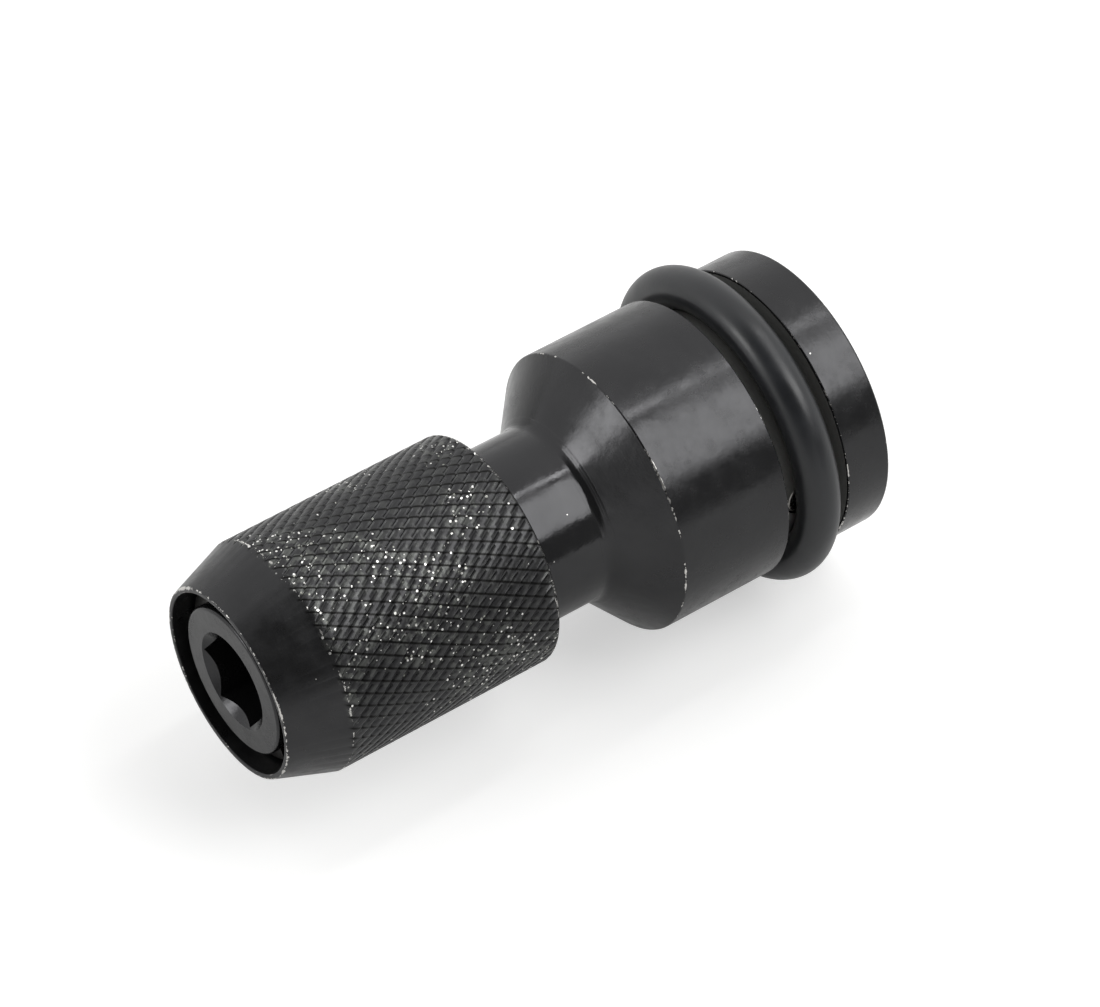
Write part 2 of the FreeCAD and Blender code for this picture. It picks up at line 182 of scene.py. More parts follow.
# Adapter body: one piece of alloy steel, turned on a lathe, broached with a hexagon in the stem and
# a square in the drum, drilled for the balls and the pin, then blacked. Its radii and stations are
# millimetres from the axis and from the sleeve's front rim.
MM = 0.001
TURNED_FACES = 192
FILLET_STEPS = 4
OVERCUT = 0.1
STEM_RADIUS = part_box("locking_ball_right")[1].x / MM
DRUM_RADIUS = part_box("adapter_body")[1].x / MM
STEM_FACE = (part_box("adapter_body")[0].y - low_corner.y) / MM
DRIVE_FACE = (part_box("adapter_body")[1].y - low_corner.y) / MM
CLIP_FLOOR_RADIUS = 5.225
CLIP_FRONT = (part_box("retaining_clip")[0].y - low_corner.y) / MM
WASHER_FRONT = (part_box("spring_washer")[0].y - low_corner.y) / MM
STEP_STATION = 18.5
NECK_RADIUS = 6.835
SHOULDER_STATION = 28.0
DRUM_STATION = 31.64
GROOVE_RADIUS = 9.239
GROOVE_FRONT = 40.93
GROOVE_BACK = 46.26
HEX_CORNER = 3.695
HEX_MOUTH = 3.795
HEX_LEAD_IN = 0.6
HEX_BACK = 25.0
HEX_DRILL = 3.2
HEX_DRILL_POINT = 1.9
SOCKET_HALF = 6.375
SOCKET_MOUTH = 8.619
SOCKET_LEAD_IN = 1.3
SOCKET_FRONT = 34.0
SOCKET_ROUND = 1.2
SOCKET_RELIEF = 1.2
SOCKET_DRILL_POINT = 4.8
BALL_STATION = (sum(corner.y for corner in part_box("locking_ball_right")) / 2 - low_corner.y) / MM
BALL_SEAT_HEIGHT = 3.23
BALL_THROAT = 1.14
BALL_HOLE = 1.53
PIN_STATION = (sum(corner.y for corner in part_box("retaining_pin")) / 2 - low_corner.y) / MM
PIN_HOLE = 1.55


def place(station):
    """The Y of a station."""
    return low_corner.y + station * MM


def rounded(corners):
    """The (radius, station) points of an outline whose corners have their own fillets."""
    points = []
    for number, (radius, station, fillet) in enumerate(corners):
        here = Vector((radius, station))
        before = (Vector(corners[number - 1][:2]) - here).normalized()
        after = (Vector(corners[(number + 1) % len(corners)][:2]) - here).normalized()
        if fillet == 0:
            points.append(here)
            continue
        half = before.angle(after) / 2
        centre = here + (before + after).normalized() * fillet / math.sin(half)
        start = here + before * fillet / math.tan(half) - centre
        end = here + after * fillet / math.tan(half) - centre
        points += [centre + start.slerp(end, step / FILLET_STEPS).normalized() * fillet
                   for step in range(FILLET_STEPS + 1)]
    return points


def turned(name, outline, faces=TURNED_FACES, ring=False):
    """A turned piece: a circle at the outline's start, extruded and resized from point to point.

    A point may give a turn, in degrees, for the last stretch: it makes a helix of its lines.
    """
    bpy.ops.object.select_all(action="DESELECT")
    radius, station = outline[0]
    bpy.ops.mesh.primitive_circle_add(vertices=faces, radius=radius * MM, location=(0, place(station), 0),
                                      rotation=(math.pi / 2, 0, 0), enter_editmode=True)
    if not ring:
        bpy.ops.mesh.edge_face_add()
    for next_radius, next_station, *turn in outline[1:] + outline[:1] * ring:
        bpy.ops.mesh.extrude_region_move(
            TRANSFORM_OT_translate={"value": (0, (next_station - station) * MM, 0)})
        grow = next_radius / radius
        centre = (0, place(next_station), 0)
        bpy.ops.transform.resize(value=(grow, 1, grow), center_override=centre)
        if turn:
            bpy.ops.transform.rotate(value=math.radians(turn[0]), orient_axis="Y", center_override=centre)
        radius, station = next_radius, next_station
    bpy.ops.mesh.select_all(action="SELECT")
    bpy.ops.mesh.remove_doubles(threshold=1e-6)
    bpy.ops.mesh.normals_make_consistent(inside=False)
    bpy.ops.object.mode_set(mode="OBJECT")
    bpy.context.object.name = name
    bpy.ops.object.transform_apply()
    return bpy.context.object


def cut(piece, tool):
    """Cuts a piece with a tool and throws the tool away."""
    modifier = piece.modifiers.new("cut", "BOOLEAN")
    modifier.object = tool
    modifier.operation = "DIFFERENCE"
    modifier.solver = "EXACT"
    bpy.ops.object.select_all(action="DESELECT")
    bpy.context.view_layer.objects.active = piece
    piece.select_set(True)
    bpy.ops.object.modifier_apply(modifier="cut")
    bpy.data.objects.remove(tool)


def drill(start, end, radius, end_radius=None, faces=64, turn=0.0):
    """A round or many-sided cutter along the axis, straight or tapered, between two stations."""
    end_radius = radius if end_radius is None else end_radius
    bpy.ops.object.select_all(action="DESELECT")
    bpy.ops.mesh.primitive_cone_add(vertices=faces, radius1=end_radius * MM, radius2=radius * MM,
                                    depth=(end - start) * MM, rotation=(math.pi / 2, turn, 0),
                                    location=(0, place((start + end) / 2), 0))
    return bpy.context.object


def cross_drill(station, radius, direction, start, end):
    """A round cutter square to the axis, between two distances from it."""
    bpy.ops.object.select_all(action="DESELECT")
    turn = Vector(direction).to_track_quat("Z", "Y").to_euler()
    middle = Vector((0, place(station), 0)) + Vector(direction) * (start + end) / 2 * MM
    bpy.ops.mesh.primitive_cylinder_add(vertices=64, radius=radius * MM, depth=(end - start) * MM,
                                        rotation=turn, location=middle)
    return bpy.context.object


def square_broach():
    """The drive square's cutter, with its four long edges rounded."""
    bpy.ops.object.select_all(action="DESELECT")
    length = DRIVE_FACE + 1 - SOCKET_FRONT
    bpy.ops.mesh.primitive_cube_add(size=1, location=(0, place(SOCKET_FRONT + length / 2), 0),
                                    scale=(2 * SOCKET_HALF * MM, length * MM, 2 * SOCKET_HALF * MM))
    tool = bpy.context.object
    bpy.ops.object.transform_apply()
    bpy.ops.object.mode_set(mode="EDIT")
    bpy.ops.mesh.select_all(action="DESELECT")
    bpy.ops.mesh.select_mode(type="EDGE")
    bpy.ops.object.mode_set(mode="OBJECT")
    corners = [vertex.co for vertex in tool.data.vertices]
    for edge in tool.data.edges:
        a, b = edge.vertices
        edge.select = abs(corners[a].y - corners[b].y) > length / 2 * MM
    bpy.ops.object.mode_set(mode="EDIT")
    bpy.ops.mesh.bevel(offset=SOCKET_ROUND * MM, segments=8)
    bpy.ops.object.mode_set(mode="OBJECT")
    return tool


def finish_surface(piece, angle=30):
    """Smooth shading between hard edges, with flat faces kept flat."""
    bpy.ops.object.select_all(action="DESELECT")
    bpy.context.view_layer.objects.active = piece
    piece.select_set(True)
    bpy.ops.object.shade_smooth_by_angle(angle=math.radians(angle))
    piece.modifiers.new("flats", "WEIGHTED_NORMAL").keep_sharp = True
    bpy.ops.object.modifier_apply(modifier="flats")


adapter = turned("turned_adapter_body", rounded([
    (0, STEM_FACE, 0),
    (STEM_RADIUS, STEM_FACE, 0.25),
    (STEM_RADIUS, CLIP_FRONT, 0.05),
    (CLIP_FLOOR_RADIUS, CLIP_FRONT, 0),
    (CLIP_FLOOR_RADIUS, WASHER_FRONT, 0),
    (STEM_RADIUS, WASHER_FRONT, 0.05),
    (STEM_RADIUS, STEP_STATION, 0),
    (NECK_RADIUS, STEP_STATION, 0.1),
    (NECK_RADIUS, SHOULDER_STATION, 0.9),
    (DRUM_RADIUS, DRUM_STATION, 0.2),
    (DRUM_RADIUS, GROOVE_FRONT, 0.12),
    (GROOVE_RADIUS, GROOVE_FRONT, 0.25),
    (GROOVE_RADIUS, GROOVE_BACK, 0.25),
    (DRUM_RADIUS, GROOVE_BACK, 0.12),
    (DRUM_RADIUS, DRIVE_FACE, 0.2),
    (0, DRIVE_FACE, 0)])[1:-1])
bpy.ops.object.mode_set(mode="EDIT")
bpy.ops.mesh.select_all(action="DESELECT")
bpy.ops.mesh.select_non_manifold()
bpy.ops.mesh.edge_face_add()
bpy.ops.object.mode_set(mode="OBJECT")
cut(adapter, drill(STEM_FACE - OVERCUT, HEX_BACK, HEX_CORNER, faces=6, turn=math.pi / 6))
cut(adapter, drill(STEM_FACE - OVERCUT, STEM_FACE + HEX_LEAD_IN,
                   HEX_MOUTH + OVERCUT, HEX_MOUTH - HEX_LEAD_IN, faces=96))
cut(adapter, drill(HEX_BACK - 0.5, HEX_BACK + HEX_DRILL_POINT, HEX_DRILL, 0.05))
cut(adapter, square_broach())
cut(adapter, drill(SOCKET_FRONT - SOCKET_RELIEF, SOCKET_FRONT + 2, SOCKET_HALF))
cut(adapter, drill(SOCKET_FRONT - SOCKET_DRILL_POINT, SOCKET_FRONT - SOCKET_RELIEF + 0.01, 0.1, SOCKET_HALF))
cut(adapter, drill(DRIVE_FACE - SOCKET_LEAD_IN, DRIVE_FACE + OVERCUT,
                   SOCKET_MOUTH - SOCKET_LEAD_IN, SOCKET_MOUTH + OVERCUT, faces=96))
cut(adapter, cross_drill(PIN_STATION, PIN_HOLE, (1, 0, 0), -DRUM_RADIUS, DRUM_RADIUS))
cut(adapter, cross_drill(BALL_STATION, BALL_THROAT, (1, 0, 0), -STEM_RADIUS, STEM_RADIUS))
for side in (1, -1):
    cut(adapter, cross_drill(BALL_STATION, BALL_HOLE, (side, 0, 0), BALL_SEAT_HEIGHT, STEM_RADIUS + 1))
finish_surface(adapter)


def turned_coordinates(tree):
    """Sockets for the place, the radius, the station along Y and the angle round the axis."""
    spot = add_node(tree, "TexCoord", output="Object")
    parts = add_node(tree, "SeparateXYZ", {0: spot}).node.outputs
    flat = add_node(tree, "CombineXYZ", {"X": parts["X"], "Y": parts["Z"]})
    radius = add_node(tree, "VectorMath", {0: flat}, "Value", operation="LENGTH")
    angle = add_node(tree, "Math", {0: parts["X"], 1: parts["Z"]}, operation="ARCTAN2")
    return spot, radius, parts["Y"], angle


# Blacking rubs off an edge where a fine noise and broad patches add up to enough. An edge given an
# amount of 0 starts to lose it at WEAR_START, and each tenth of the amount brings that down by 0.03.
WEAR_START = 1.15
WEAR_FULL = 1.35
WEAR_SPREAD = 0.3
WEAR_GRAIN_PER_MM = 2.6
WEAR_PATCHES_PER_MM = 0.22


def worn_edges(tree, radius, station, spot, edges):
    """A mask that is 1 where the blacking has rubbed off turned edges, in broken stretches.

    Each edge gives its radius, its station, how wide the wear can be and how much of it is worn.
    """
    section = add_node(tree, "CombineXYZ", {"X": radius, "Y": station})
    broken = add_node(tree, "TexNoise", {"Vector": spot, "Scale": WEAR_GRAIN_PER_MM / MM, "Detail": 4.0,
                                         "Roughness": 0.7})
    patches = add_node(tree, "TexNoise", {"Vector": spot, "Scale": WEAR_PATCHES_PER_MM / MM, "Detail": 2.0})
    rubbed_and_painted_light = add_node(tree, "Math", {0: broken, 1: patches}, operation="ADD")
    worn = 0.0
    for edge_radius, edge_station, width, amount in edges:
        corner = (edge_radius * MM, place(edge_station), 0)
        gap = add_node(tree, "VectorMath", {0: section, 1: corner}, "Value", operation="DISTANCE")
        reach = add_node(tree, "MapRange", {"Value": rubbed_and_painted_light, "From Min": WEAR_START - WEAR_SPREAD * amount,
                                            "From Max": WEAR_FULL - WEAR_SPREAD * amount,
                                            "To Min": 0.0, "To Max": width * MM})
        bare = add_node(tree, "Math", {0: reach, 1: gap}, operation="GREATER_THAN")
        worn = add_node(tree, "Math", {0: worn, 1: bare}, operation="MAXIMUM")
    return worn


# Black oxide on turned alloy steel: a thin dark conversion layer over metal, so it mirrors like
# metal but dimly, a neutral to slightly blue grey. It has faint rings from the tool, 0.14 mm apart
# and so drawn coarser than a fine feed, cloudy oiled patches 4 mm across, and a few bright nicks.
BLACK_OXIDE = "#343435"
BLACK_OXIDE_CLOUD = "#404041"
BARE_STEEL = "#D2D0CC"
OXIDE_METALLIC = 0.85
BARE_ROUGHNESS = 0.28
TURNING_RINGS_PER_MM = 7.0
CLOUDS_PER_MM = 0.26
SMUDGES_PER_MM = 0.65
RIPPLES_PER_MM = 1.1
NICK_CELLS_PER_MM = 1.3
NICK_CHANCE = 0.012
NICK_SIZE = 0.07


def black_oxide(name, edges, roughness):
    """Blacked steel with turning rings, clouds, nicks and worn edges."""
    material = bpy.data.materials.new(name)
    material.use_nodes = True
    tree = material.node_tree
    shader = tree.nodes["Principled BSDF"]
    spot, radius, station, _ = turned_coordinates(tree)
    clouds = add_node(tree, "TexNoise", {"Vector": spot, "Scale": CLOUDS_PER_MM / MM, "Detail": 4.0})
    oxide = add_node(tree, "Mix", {"Factor": clouds, "A": linear(BLACK_OXIDE),
                                   "B": linear(BLACK_OXIDE_CLOUD)}, data_type="RGBA")
    worn = worn_edges(tree, radius, station, spot, edges)
    cells = add_node(tree, "TexVoronoi", {"Vector": spot, "Scale": NICK_CELLS_PER_MM / MM}).node.outputs
    chance = add_node(tree, "SeparateColor", {0: cells["Color"]})
    chosen = add_node(tree, "Math", {0: chance, 1: NICK_CHANCE}, operation="LESS_THAN")
    inside = add_node(tree, "Math", {0: cells["Distance"], 1: NICK_SIZE}, operation="LESS_THAN")
    nicks = add_node(tree, "Math", {0: chosen, 1: inside}, operation="MULTIPLY")
    worn = add_node(tree, "Math", {0: worn, 1: nicks}, operation="MAXIMUM")
    colour = add_node(tree, "Mix", {"Factor": worn, "A": oxide, "B": linear(BARE_STEEL)}, data_type="RGBA")
    metallic = add_node(tree, "Mix", {"Factor": worn, "A": OXIDE_METALLIC, "B": 1.0})
    smudges = add_node(tree, "TexNoise", {"Vector": spot, "Scale": SMUDGES_PER_MM / MM, "Detail": 6.0,
                                          "Roughness": 0.65})
    rough = add_node(tree, "MapRange", {"Value": smudges, "From Min": 0.35, "From Max": 0.65,
                                        "To Min": roughness - 0.07, "To Max": roughness + 0.08})
    rough = add_node(tree, "Mix", {"Factor": worn, "A": rough, "B": BARE_ROUGHNESS})
    section = add_node(tree, "CombineXYZ", {"X": radius, "Y": station})
    rings = add_node(tree, "TexNoise", {"Vector": section, "Scale": TURNING_RINGS_PER_MM / MM, "Detail": 2.0})
    ripple = add_node(tree, "TexNoise", {"Vector": spot, "Scale": RIPPLES_PER_MM / MM, "Detail": 5.0,
                                         "Roughness": 0.6})
    turning = add_node(tree, "Bump", {"Height": rings, "Strength": 0.3, "Distance": 0.01 * MM})
    uneven = add_node(tree, "Bump", {"Height": ripple, "Strength": 0.4, "Distance": 0.04 * MM,
                                     "Normal": turning})
    tree.links.new(colour, shader.inputs["Base Color"])
    tree.links.new(metallic, shader.inputs["Metallic"])
    tree.links.new(rough, shader.inputs["Roughness"])
    tree.links.new(uneven, shader.inputs["Normal"])
    return material, tree, shader


body_steel, tree, shader = black_oxide("black_oxide_turned_steel", [
    (STEM_RADIUS, STEM_FACE, 0.14, 0.1),
    (DRUM_RADIUS, DRUM_STATION, 0.09, 0.5),
    (DRUM_RADIUS, GROOVE_FRONT, 0.11, 0.5),
    (DRUM_RADIUS, GROOVE_BACK, 0.11, 0.4),
    (DRUM_RADIUS, DRIVE_FACE, 0.14, 0.3)], roughness=0.22)
_, radius, station, _ = turned_coordinates(tree)

# The neck is smoother than the rest, and at the shoulder's root the tool has left a few deeper rings.
POLISHED_FRONT = 22.0
POLISHED_BACK = 29.5
POLISH = 0.1
ROOT_HALF_WIDTH = 0.5
ROOT_RINGS_PER_MM = 2.6
polished_middle = place((POLISHED_FRONT + POLISHED_BACK) / 2)
polished_reach = (POLISHED_BACK - POLISHED_FRONT) / 2 * MM
away = add_node(tree, "Math", {0: station, 1: polished_middle}, operation="SUBTRACT")
away = add_node(tree, "Math", {0: away}, operation="ABSOLUTE")
smoother = add_node(tree, "MapRange", {"Value": away, "From Min": polished_reach - MM,
                                       "From Max": polished_reach, "To Min": POLISH, "To Max": 0.0})
rough = shader.inputs["Roughness"].links[0].from_socket
rough = add_node(tree, "Math", {0: rough, 1: smoother}, operation="SUBTRACT")
at_root = add_node(tree, "Math", {0: station, 1: place(SHOULDER_STATION), 2: ROOT_HALF_WIDTH * MM},
                   operation="COMPARE")
section = add_node(tree, "CombineXYZ", {"X": radius, "Y": station})
marks = add_node(tree, "TexNoise", {"Vector": section, "Scale": ROOT_RINGS_PER_MM / MM})
tool_marks = add_node(tree, "Math", {0: at_root, 1: marks}, operation="MULTIPLY")
uneven = shader.inputs["Normal"].links[0].from_socket
uneven = add_node(tree, "Bump", {"Height": tool_marks, "Strength": 0.8, "Distance": 0.05 * MM,
                                 "Normal": uneven})
tree.links.new(uneven, shader.inputs["Normal"])

# The ring's groove is painted a lighter, matter grey: painted light that lifts the shade in the gaps beside
# the rubber ring.
GROOVE_PAINTED_LIGHT_GREY = "#7E7E7C"
GROOVE_PAINTED_LIGHT_METALLIC = 0.2
GROOVE_PAINTED_LIGHT_ROUGHNESS = 0.6
PAINTED_LIGHT_INNER = GROOVE_RADIUS - 0.1
PAINTED_LIGHT_OUTER = DRUM_RADIUS - 0.2
PAINTED_LIGHT_LENGTH = GROOVE_BACK - GROOVE_FRONT + 0.1
along_groove = add_node(tree, "Math", {0: station, 1: place((GROOVE_FRONT + GROOVE_BACK) / 2),
                                       2: PAINTED_LIGHT_LENGTH / 2 * MM}, operation="COMPARE")
down_groove = add_node(tree, "Math", {0: radius, 1: (PAINTED_LIGHT_INNER + PAINTED_LIGHT_OUTER) / 2 * MM,
                                      2: (PAINTED_LIGHT_OUTER - PAINTED_LIGHT_INNER) / 2 * MM}, operation="COMPARE")
# Painted light: the groove's floor and walls are made lighter, duller and less metallic.
rubbed_and_painted_light = add_node(tree, "Math", {0: along_groove, 1: down_groove}, operation="MULTIPLY")
colour = shader.inputs["Base Color"].links[0].from_socket
colour = add_node(tree, "Mix", {"Factor": rubbed_and_painted_light, "A": colour, "B": linear(GROOVE_PAINTED_LIGHT_GREY)}, data_type="RGBA")
metallic = shader.inputs["Metallic"].links[0].from_socket
metallic = add_node(tree, "Mix", {"Factor": rubbed_and_painted_light, "A": metallic, "B": GROOVE_PAINTED_LIGHT_METALLIC})
rough = add_node(tree, "Mix", {"Factor": rubbed_and_painted_light, "A": rough, "B": GROOVE_PAINTED_LIGHT_ROUGHNESS})
tree.links.new(colour, shader.inputs["Base Color"])
tree.links.new(metallic, shader.inputs["Metallic"])
tree.links.new(rough, shader.inputs["Roughness"])
adapter.data.materials.append(body_steel)
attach(adapter, "adapter")
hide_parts("adapter_body")

# Return spring: round spring-steel wire, wound cold, that sits between the washer and the sleeve's
# bore and holds the sleeve back. The real one shortens as the sleeve is drawn forwards; this mesh
# keeps one length.
WIRE = 0.8
COIL_RADIUS = 6.37
COIL_TURNS = 4.5
SPRING_FRONT = (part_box("return_spring")[0].y - low_corner.y) / MM
SPRING_BACK = (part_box("return_spring")[1].y - low_corner.y) / MM

bpy.ops.object.select_all(action="DESELECT")
bpy.ops.mesh.primitive_circle_add(vertices=20, radius=WIRE / 2 * MM, fill_type="NGON",
                                  location=(COIL_RADIUS * MM, place(SPRING_FRONT + WIRE / 2), 0))
spring = bpy.context.object
spring.name = "wound_return_spring"
bpy.ops.object.transform_apply()
winding = spring.modifiers.new("winding", "SCREW")
winding.axis = "Y"
winding.angle = COIL_TURNS * 2 * math.pi
winding.screw_offset = (SPRING_BACK - SPRING_FRONT - WIRE) * MM
winding.steps = winding.render_steps = 260
winding.use_smooth_shade = True
bpy.ops.object.modifier_apply(modifier="winding")
bpy.ops.object.mode_set(mode="EDIT")
bpy.ops.mesh.select_all(action="DESELECT")
bpy.ops.mesh.select_non_manifold()
bpy.ops.mesh.edge_face_add()
bpy.ops.mesh.select_all(action="SELECT")
bpy.ops.mesh.normals_make_consistent(inside=False)
bpy.ops.object.mode_set(mode="OBJECT")
finish_surface(spring, 40)

# Bright steel that oil and handling have dulled to a faintly stained grey, with a fine grain of
# lines where it was drawn or ground. The lines are 0.3 to 1.1 mm apart, coarser than real ones, so
# that they show.
STAINS_PER_MM = 0.45
STAIN_DARKNESS = 0.72


def bright_steel(name, colour, roughness, grain_per_mm, grain_stretch=(1, 1, 1)):
    """Uncoated steel with a grain, stretched along an axis by a share under 1, and faint stains."""
    material = bpy.data.materials.new(name)
    material.use_nodes = True
    tree = material.node_tree
    shader = tree.nodes["Principled BSDF"]
    spot = add_node(tree, "TexCoord", output="Object")
    along = add_node(tree, "Mapping", {"Vector": spot, "Scale": grain_stretch})
    grain = add_node(tree, "TexNoise", {"Vector": along, "Scale": grain_per_mm / MM, "Detail": 3.0})
    stains = add_node(tree, "TexNoise", {"Vector": spot, "Scale": STAINS_PER_MM / MM, "Detail": 3.0})
    stained = [channel * STAIN_DARKNESS for channel in linear(colour)[:3]] + [1.0]
    steel = add_node(tree, "Mix", {"Factor": stains, "A": stained, "B": linear(colour)}, data_type="RGBA")
    rough = add_node(tree, "MapRange", {"Value": grain, "From Min": 0.3, "From Max": 0.7,
                                        "To Min": roughness - 0.05, "To Max": roughness + 0.08})
    lines = add_node(tree, "Bump", {"Height": grain, "Strength": 0.2, "Distance": 0.01 * MM})
    shader.inputs["Metallic"].default_value = 1.0
    tree.links.new(steel, shader.inputs["Base Color"])
    tree.links.new(rough, shader.inputs["Roughness"])
    tree.links.new(lines, shader.inputs["Normal"])
    return material


spring.data.materials.append(bright_steel("drawn_spring_steel", "#7E7B76", roughness=0.3,
                                          grain_per_mm=2.5, grain_stretch=(1, 0.2, 1)))
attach(spring, "adapter")
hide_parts("return_spring")
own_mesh(spring)

# Spring washer: a stamped and tumbled steel ring, loose on the stem, that the spring pushes on.
# Tumbling rounds its edges and leaves an even grey.
WASHER_INNER = 5.775
WASHER_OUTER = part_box("spring_washer")[1].x / MM
WASHER_BACK = (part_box("spring_washer")[1].y - low_corner.y) / MM

washer = turned("stamped_spring_washer", rounded([
    (WASHER_INNER, WASHER_FRONT, 0.1),
    (WASHER_OUTER, WASHER_FRONT, 0.1),
    (WASHER_OUTER, WASHER_BACK, 0.1),
    (WASHER_INNER, WASHER_BACK, 0.1)]), faces=128, ring=True)
finish_surface(washer, 50)
washer.data.materials.append(bright_steel("tumbled_washer_steel", "#6C6A66", roughness=0.38,
                                          grain_per_mm=1.8))
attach(washer, "adapter")
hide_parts("spring_washer")

# Retaining clip: an open ring of square spring-steel wire, snapped into the stem's groove, which
# keeps the washer, the spring and the sleeve on the stem. Its gap is what lets it spread.
CLIP_INNER = 5.245
CLIP_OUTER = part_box("retaining_clip")[1].z / MM
CLIP_BACK = (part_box("retaining_clip")[1].y - low_corner.y) / MM
CLIP_SWEEP = 310.0
CLIP_EDGE_ROUND = 0.12

bpy.ops.object.select_all(action="DESELECT")
bpy.ops.mesh.primitive_plane_add(size=1, location=((CLIP_INNER + CLIP_OUTER) / 2 * MM,
                                                   place((CLIP_FRONT + CLIP_BACK) / 2), 0))
clip = bpy.context.object
clip.name = "open_retaining_clip"
clip.scale = ((CLIP_OUTER - CLIP_INNER) * MM, (CLIP_BACK - CLIP_FRONT) * MM, 1)
bpy.ops.object.transform_apply()
bpy.ops.object.mode_set(mode="EDIT")
bpy.ops.mesh.select_all(action="SELECT")
bpy.ops.mesh.bevel(offset=CLIP_EDGE_ROUND * MM, segments=3, affect="VERTICES")
bpy.ops.mesh.spin(steps=110, angle=math.radians(CLIP_SWEEP), center=(0, 0, 0), axis=(0, 1, 0))
bpy.ops.mesh.select_all(action="SELECT")
bpy.ops.mesh.normals_make_consistent(inside=False)
bpy.ops.object.mode_set(mode="OBJECT")
finish_surface(clip, 50)
clip.data.materials.append(bright_steel("clip_spring_steel", "#5B5A58", roughness=0.34, grain_per_mm=2.2))
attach(clip, "adapter")
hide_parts("retaining_clip")

# Locking balls: two polished bearing balls in the stem's wall, at opposite corners of the hexagon.
# The sleeve's bore holds them in the bit's notch, and lets them out when it is drawn forwards.
ball_steel = bright_steel("polished_ball_steel", "#C9C7C4", roughness=0.12, grain_per_mm=0.9)
for side in ("right", "left"):
    ball_low, ball_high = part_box(f"locking_ball_{side}")
    ball_size = ball_high.x - ball_low.x
    ball_middle = (ball_low + ball_high) / 2
    bpy.ops.object.select_all(action="DESELECT")
    bpy.ops.mesh.primitive_cube_add(size=2 * ball_size, location=ball_middle, enter_editmode=True)
    bpy.ops.mesh.subdivide(number_cuts=15)
    bpy.ops.transform.tosphere(value=1.0)
    ball = bpy.context.object
    bpy.ops.object.mode_set(mode="OBJECT")
    bpy.ops.object.transform_apply()
    grow = ball_size / ball.dimensions.x
    bpy.ops.object.mode_set(mode="EDIT")
    bpy.ops.mesh.select_all(action="SELECT")
    bpy.ops.transform.resize(value=(grow, grow, grow), center_override=ball_middle)
    bpy.ops.object.mode_set(mode="OBJECT")
    bpy.ops.object.shade_smooth()
    ball.name = f"bearing_ball_{side}"
    ball.data.materials.append(ball_steel)
    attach(ball, f"ball_{side}")
    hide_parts(f"locking_ball_{side}")

# Knurled sleeve: a steel collar turned to a cone at the front, diamond-knurled over the rest and
# blacked. It slides forwards on the stem against the spring to let the bit out. Only the grooves of
# the wheel that pressed hardest are cut into the mesh; the other wheel's are painted shade and a faint bump
# in the material.
KNURL_STARTS = 54
FACES_PER_START = 8
KNURL_RINGS = 24
KNURL_TURN = 60.0
KNURL_DEPTH = 0.16
LAND_ROUND = 0.02
RIM_BORE = 7.015
RIM_RADIUS = 7.395
CONE_BACK = 4.47
GRIP_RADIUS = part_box("knurled_sleeve")[1].x / MM
SLEEVE_BACK = (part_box("knurled_sleeve")[1].y - low_corner.y) / MM
SLEEVE_ROUND = 0.3
KNURL_BACK = SLEEVE_BACK - SLEEVE_ROUND
SKIRT_BORE = 6.885
LOCK_BORE = 5.775
RELIEF_BORE = 6.745
RELIEF_BACK = 17.5
RAMP_BACK = 15.65
RAMP_FRONT = 12.65

cone_slope = (GRIP_RADIUS - RIM_RADIUS) / CONE_BACK
knurl_step = (KNURL_BACK - CONE_BACK) / KNURL_RINGS
front = rounded([
    (RIM_BORE, SPRING_BACK, 0),
    (RIM_BORE, 0, 0.08),
    (RIM_RADIUS, 0, 0.1),
    (GRIP_RADIUS, CONE_BACK, 0)])
ridges = [(GRIP_RADIUS, CONE_BACK + knurl_step * ring, KNURL_TURN / KNURL_RINGS)
          for ring in range(1, KNURL_RINGS + 1)]
back = rounded([
    (GRIP_RADIUS, CONE_BACK, 0),
    (GRIP_RADIUS, SLEEVE_BACK, SLEEVE_ROUND),
    (SKIRT_BORE, SLEEVE_BACK, 0.15),
    (SKIRT_BORE, STEP_STATION, 0),
    (LOCK_BORE, STEP_STATION, 0),
    (LOCK_BORE, RELIEF_BACK, 0),
    (RELIEF_BORE, RELIEF_BACK, 0),
    (RELIEF_BORE, RAMP_BACK, 0),
    (LOCK_BORE, RAMP_FRONT, 0),
    (LOCK_BORE, SPRING_BACK, 0)])[2:]
sleeve = turned("knurled_steel_sleeve", front + ridges + back,
                faces=KNURL_STARTS * FACES_PER_START, ring=True)
helix = KNURL_TURN / (KNURL_BACK - CONE_BACK)
for vertex in sleeve.data.vertices:
    x, y, z = vertex.co
    radius, station = math.hypot(x, z) / MM, (y - low_corner.y) / MM
    if radius < GRIP_RADIUS - 0.05 or not CONE_BACK - 0.01 < station < SLEEVE_BACK - 0.1:
        continue
    turn = math.degrees(math.atan2(x, z)) - helix * (min(station, KNURL_BACK) - CONE_BACK)
    across = round(turn / 360 * KNURL_STARTS * FACES_PER_START) % FACES_PER_START
    depth = {0: KNURL_DEPTH, 1: LAND_ROUND, FACES_PER_START - 1: LAND_ROUND}.get(across, 0)
    shrink = 1 - depth / radius
    vertex.co.x *= shrink
    vertex.co.z *= shrink
    if station < CONE_BACK + 0.01:
        vertex.co.y -= depth / cone_slope * MM
finish_surface(sleeve)
